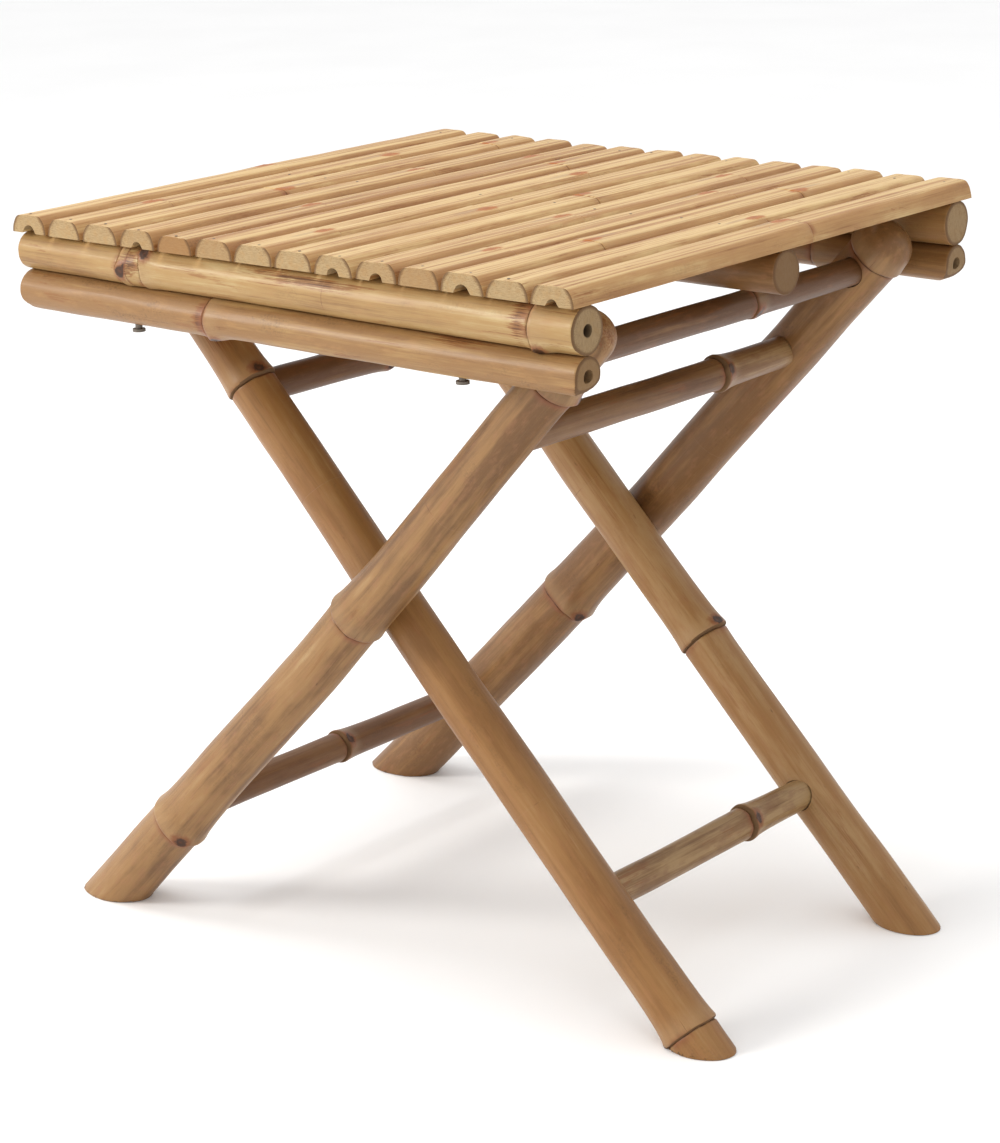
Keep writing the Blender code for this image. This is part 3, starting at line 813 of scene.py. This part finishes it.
def make_rails(front_finish, rear_finish):
    underside = Vector(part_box("slat_01")[0]).z
    upper_radii = {}
    for number, (name, nodes, grows, tone, warmth, pith, radii) in enumerate(RAILS, 21):
        low, high = map(Vector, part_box(name))
        middle = (low + high) / 2
        left, right = radii[0] * MM, radii[1] * MM
        above = upper_radii.get(name.replace("lower", "upper"), (0.0, 0.0))
        upper_radii[name] = (left, right)
        length = high.x - low.x

        def hang(along, left=left, right=right, above=above, length=length, height=middle.z):
            share = along / length
            over = 2 * (above[0] + (above[1] - above[0]) * share)
            return underside - over - (left + (right - left) * share) - height

        culm = Culm((low.x, middle.y, middle.z), (high.x, middle.y, middle.z), left, right,
                    (0, 0, 1), nodes, seed=number, grows=grows, tone=tone, warmth=warmth,
                    swell=0.75, kink=0.0, rim=1.2 * MM, centre=hang, scar=1.3, name=name)
        pith = (pith[0] * MM, pith[1] * MM)
        piece = grow_culm(name + "_bamboo", culm, pith)
        inward = -1 if middle.y < 0 else 1
        if "lower" in name:
            low, high = map(Vector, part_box("top_axle"))
            spot = (low.x + high.x) / 2 - culm.start.x
            rise = (low.z + high.z) / 2 - middle.z - hang(spot)
            drill(piece, 7.4 * MM, (rise, inward * 30 * MM, spot), (rise, -inward * 5 * MM, spot))
        else:
            low, high = map(Vector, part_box("stop_bar"))
            spot = (low.x + high.x) / 2 - culm.start.x
            rise = (low.z + high.z) / 2 - middle.z - hang(spot)
            deep = 60 * MM if name == "middle_rail" else 3 * MM
            hole = (high.z - low.z) / 2 + 0.4 * MM
            drill(piece, hole, (rise, inward * 60 * MM, spot), (rise, -inward * deep, spot))
        shape(piece, culm, nose_shaper(culm) if "lower" in name else None, pith)
        # the middle and rear rails take the darker leg finish: partly a browner skin, partly painted shade
        # for the shade under the slats
        finish = front_finish if name.startswith("front") else rear_finish
        deliver(piece, "tabletop", name, finish)


# ---------------------------------------------------------------------------------------------
# Leg frames
# ---------------------------------------------------------------------------------------------

LEAN = math.radians(46.4)
LEG_CHORD = 0.700
BELOW_FLOOR = 30 * MM
PIVOT_ALONG = 0.366
# for each frame: which way it leans, the x of its feet, its bow and the length of its legs
FRAMES = {"outer_frame": (1, -0.2594, 4.5 * MM, 0.6992), "inner_frame": (-1, 0.2641, 3.5 * MM, 0.6913)}

# name, body, y, foot and top diameter in mm, what is left at the pivot, nodes and scars, tone, warmth
LEGS = [
    ("outer_leg_front", "outer_frame", -0.1685, 43.0, 35.5, 19.6,
     ((0.1045, -0.75), (0.3700, 2.3), (0.6300, 0.4)), 0.58, 0.12),
    ("outer_leg_rear", "outer_frame", 0.1700, 45.0, 40.0, 21.3,
     ((0.2577, -0.45), (0.6720, 2.0)), 0.90, 0.30),
    ("inner_leg_front", "inner_frame", -0.1305, 37.5, 34.5, 18.0,
     ((0.0110, -0.9), (0.3800, -0.6), (0.5640, 2.9)), 0.56, 0.72),
    ("inner_leg_rear", "inner_frame", 0.1295, 38.5, 36.0, 18.7,
     ((0.2604, 3.1), (0.5500, -0.6)), 0.24, 0.60),
]
TOP_CUT = {"outer_leg_front": 7 * MM}       # taken off the top of a leg
WORN_BELOW = 135 * MM       # how far from the pivot the legs are kept clear of each other
WORN_ABOVE = 75 * MM
BARS_IN = {"outer_frame": ("outer_upper_bar", "outer_lower_bar"),
           "inner_frame": ("inner_upper_bar", "inner_lower_bar")}


def leg_culm(row, seed):
    """A leg from 30 mm under the floor, where it is later sawn level, to its top."""
    name, body, y, foot_d, top_d, at_pivot, nodes, tone, warmth = row
    way, foot_x, bow, reach = FRAMES[body]
    reach -= TOP_CUT.get(name, 0.0)
    axis = Vector((way * math.cos(LEAN), 0, math.sin(LEAN)))
    down = Vector((way * math.sin(LEAN), 0, -math.cos(LEAN)))
    foot = Vector((foot_x, y, 0))
    taper = (top_d - foot_d) * MM / LEG_CHORD / 2
    places = [(place + BELOW_FLOOR, scar) for place, scar in nodes]
    pivot = PIVOT_ALONG + BELOW_FLOOR
    facing = math.pi / 2 if y < 0 else -math.pi / 2
    worn = (pivot - WORN_BELOW, pivot + WORN_ABOVE, facing, at_pivot * MM)
    return Culm(foot - axis * BELOW_FLOOR, foot + axis * reach, foot_d * MM / 2 - taper * BELOW_FLOOR,
                foot_d * MM / 2 + taper * reach, down, places, seed=seed, tone=tone, warmth=warmth,
                centre=lambda along: bow * math.sin(math.pi * (along - BELOW_FLOOR) / LEG_CHORD),
                kink=1.3 * MM, dome=15 * MM if way > 0 else 0.0, contact=worn, rim=1.5 * MM, name=name)


def bench_spot(culm, x, z):
    """Distance along a culm, and across it, of the point (x, z) seen from its side."""
    offset = Vector((x, culm.start.y, z)) - culm.start
    along = offset.dot(culm.axis)
    return along, offset.dot(culm.side) - culm.centre(along)


def make_legs(material):
    for number, row in enumerate(LEGS, 31):
        name, body = row[:2]
        culm = leg_culm(row, number)
        inward = 1 if culm.start.y < 0 else -1
        y_sign = inward * culm.axis.cross(culm.side).y
        holes = []
        for bar in BARS_IN[body]:
            holes.append((bar, 0.35 * MM, -4 * MM))
        if body == "outer_frame":
            holes.append(("top_axle", 1.1 * MM, -60 * MM))
        else:
            holes.append(("stop_bar", 0.8 * MM, -60 * MM))
        culm.straight_at = [PIVOT_ALONG + BELOW_FLOOR]
        bores = []
        for bar, room, near in holes:
            low, high = map(Vector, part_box(bar))
            spot, aside = bench_spot(culm, (low.x + high.x) / 2, (low.z + high.z) / 2)
            culm.straight_at.append(spot)
            bores.append((spot, aside, (high.z - low.z) / 2 + room, near))
        piece = grow_culm(name + "_bamboo", culm)
        for spot, aside, radius, near in bores:
            drill(piece, radius, (aside, y_sign * near, spot), (aside, y_sign * 60 * MM, spot))
        saw_foot(piece, culm)
        shape(piece, culm)
        deliver(piece, body, name, material)


def saw_foot(piece, culm):
    """Saw the foot off level with the floor and ease its edge."""
    clear_selection()
    bpy.context.view_layer.objects.active = piece
    piece.select_set(True)
    bpy.ops.object.mode_set(mode="EDIT")
    bpy.ops.mesh.select_all(action="SELECT")
    level = (culm.side.z, 0, culm.axis.z)
    spot = (0, 0, -(culm.start.z + 0.2 * MM) / culm.axis.z)
    bpy.ops.mesh.bisect(plane_co=spot, plane_no=level, clear_inner=True, use_fill=True)
    bpy.ops.mesh.bevel(offset=1.3 * MM, segments=2, affect="EDGES")
    bpy.ops.object.mode_set(mode="OBJECT")


# name, body, nodes and scar angles, tone, warmth, growth, swelling of the nodes
BARS = [
    ("outer_upper_bar", "outer_frame", ((0.238, 1.2),), 0.42, 0.30, 1, 1.9),
    ("outer_lower_bar", "outer_frame", ((0.165, 0.9),), 0.80, 0.55, 1, 1.5),
    ("inner_upper_bar", "inner_frame", ((0.142, 2.0),), 1.05, 0.50, -1, 1.2),
    ("inner_lower_bar", "inner_frame", ((0.174, 1.1),), 0.05, 0.05, 1, 1.9),
    ("top_axle", "tabletop", ((0.242, 2.2),), 1.10, 0.25, 1, 0.6),
    ("stop_bar", "tabletop", ((0.150, 2.6), (0.33, 0.4)), 0.70, 0.50, 1, 0.6),
]


def axle_shaper(shoulder, tenon):
    """Step the axle down to a tenon beyond each shoulder."""

    def shaper(point, depth):
        if not shoulder[0] < point.z < shoulder[1]:
            out = math.hypot(point.x, point.y)
            if out > tenon:
                point.x *= tenon / out
                point.y *= tenon / out
        return point, depth

    return shaper


def make_bars(material):
    for number, (name, body, nodes, tone, warmth, grows, swell) in enumerate(BARS, 41):
        low, high = map(Vector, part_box(name))
        middle = (low + high) / 2
        radius = (high.z - low.z) / 2
        culm = Culm((middle.x, low.y, middle.z), (middle.x, high.y, middle.z), radius * 0.99,
                    radius * 0.97, (0, 0, 1), nodes, seed=number, grows=grows, tone=tone,
                    warmth=warmth, swell=swell, kink=0.8 * MM, scar=1.0)
        piece = grow_culm(name + "_bamboo", culm)
        shaper = None
        if name == "top_axle":
            inset = 26 * MM
            shaper = axle_shaper((inset, culm.length - inset), 7 * MM)
        shape(piece, culm, shaper)
        deliver(piece, body, name, material)


# ---------------------------------------------------------------------------------------------
# Nails
# ---------------------------------------------------------------------------------------------

NAIL_RADIUS = 1.0 * MM


def nail_head():
    """A flat nail head with a worn, bevelled edge and a short shank under it."""
    clear_selection()
    bpy.ops.mesh.primitive_cylinder_add(vertices=16, radius=NAIL_RADIUS, depth=0.5 * MM)
    head = bpy.context.object
    bpy.ops.object.mode_set(mode="EDIT")
    bpy.ops.mesh.select_all(action="SELECT")
    select_faces(head, lambda centre, normal: normal.z > 0.9)
    bpy.ops.mesh.inset(thickness=0.35 * MM)
    bpy.ops.transform.translate(value=(0, 0, 0.12 * MM))
    select_faces(head, lambda centre, normal: normal.z < -0.9)
    bpy.ops.mesh.inset(thickness=0.6 * MM)
    extrude(-6 * MM)
    finish_normals()
    bpy.ops.object.mode_set(mode="OBJECT")
    return head


def make_nails(material):
    """Three nails hold each slat, one on each rail."""
    pattern = nail_head()
    for row, rail in (("front", "front_upper_rail"), ("middle", "middle_rail"), ("rear", "rear_upper_rail")):
        rail_low, rail_high = map(Vector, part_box(rail))
        rail_y = (rail_low.y + rail_high.y) / 2
        heads = []
        for number in range(1, len(SLATS) + 1):
            low, high = map(Vector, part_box(f"slat_{number:02d}"))
            stray = noise.noise(Vector((number * 1.7, rail_y * 40, 0.3)))
            drift = noise.noise(Vector((number * 2.3, rail_y * 40, 7.7)))
            x = (low.x + high.x) / 2 + stray * 8 * MM
            y = rail_y + drift * 7 * MM - (9 * MM if rail_y < 0 else 0)
            copy = pattern.copy()
            copy.data = pattern.data.copy()
            bpy.context.scene.collection.objects.link(copy)
            z = low.z + SLATS[number - 1][5] * MM - 0.25 * MM
            copy.data.transform(Matrix.Translation((x, y, z)))
            heads.append(copy)
        clear_selection()
        for head in heads:
            head.select_set(True)
        bpy.context.view_layer.objects.active = heads[0]
        bpy.ops.object.join()
        piece = bpy.context.object
        piece.name = piece.data.name = f"slat_nails_{row}"
        deliver(piece, "tabletop", None, material, sharp=30)
    bpy.data.objects.remove(pattern, do_unlink=True)


def dress_kept_nodes(metal, wood):
    """The pins and dowels keep their CAD shape and get their finish."""
    for name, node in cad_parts.items():
        if name.startswith("rail_bolt") or name.startswith("pivot_lock"):
            finish = metal
        elif name.startswith("pivot_dowel"):
            finish = wood
        else:
            continue
        for place in node.material_slots:
            place.material = finish


# ---------------------------------------------------------------------------------------------
# Studio
# ---------------------------------------------------------------------------------------------

CAMERA_AT = Vector((1.3782, -1.6834, 0.9047))
CAMERA_YAW = 39.50
CAMERA_PITCH = 16.55
CAMERA_ROLL = -1.42
LENS = 97.3


def make_camera():
    yaw, pitch, roll = (math.radians(angle) for angle in (CAMERA_YAW, CAMERA_PITCH, CAMERA_ROLL))
    camera = bpy.data.objects.new("camera", bpy.data.cameras.new("camera"))
    camera.data.lens = LENS
    camera.data.sensor_width = 36.0
    camera.data.clip_end = 100.0
    turn = Matrix.Rotation(yaw, 4, "Z") @ Matrix.Rotation(math.pi / 2 - pitch, 4, "X")
    camera.matrix_world = Matrix.Translation(CAMERA_AT) @ turn @ Matrix.Rotation(roll, 4, "Z")
    bpy.context.scene.collection.objects.link(camera)
    bpy.context.scene.camera = camera


def area_light(name, place, aim, size, power, colour=(1, 1, 1)):
    lamp = bpy.data.lights.new(name, "AREA")
    lamp.shape = "DISK"
    lamp.size = size
    lamp.energy = power
    lamp.color = colour
    made = bpy.data.objects.new(name, lamp)
    made.location = place
    made.rotation_euler = (Vector(aim) - Vector(place)).to_track_quat("-Z", "Y").to_euler()
    bpy.context.scene.collection.objects.link(made)


def make_studio():
    clear_selection()
    bpy.ops.mesh.primitive_circle_add(vertices=96, radius=14.0, fill_type="NGON", location=(0, 0, -0.0004))
    floor = bpy.context.object
    floor.name = "studio_floor"
    bpy.ops.object.mode_set(mode="EDIT")
    bpy.ops.mesh.inset(thickness=10.0)
    bpy.ops.object.mode_set(mode="OBJECT")
    floor.data.materials.append(studio_floor())
    world = bpy.data.worlds.new("studio")
    world.use_nodes = True
    backdrop = world.node_tree.nodes["Background"]
    backdrop.inputs["Color"].default_value = (1.0, 1.0, 1.0, 1.0)
    backdrop.inputs["Strength"].default_value = 1.0
    bpy.context.scene.world = world
    area_light("key", (-2.0, -2.4, 1.7), (0, 0, 0.3), 1.1, 64, (1.0, 0.98, 0.94))
    area_light("top", (-0.3, -0.3, 2.9), (0, 0, 0.4), 1.5, 36)
    bpy.context.scene.view_settings.view_transform = "Standard"


make_camera()
make_studio()
nail_metal = steel()
make_slats(bamboo("slat_bamboo_finish", SLAT_SKIN, split=True))
leg_finish = bamboo("leg_bamboo_finish", LEG_SKIN)
make_rails(bamboo("rail_bamboo_finish", RAIL_SKIN), leg_finish)
make_legs(leg_finish)
make_bars(bamboo("bar_bamboo_finish", BAR_SKIN))
make_nails(nail_metal)
dress_kept_nodes(nail_metal, dowel_wood())
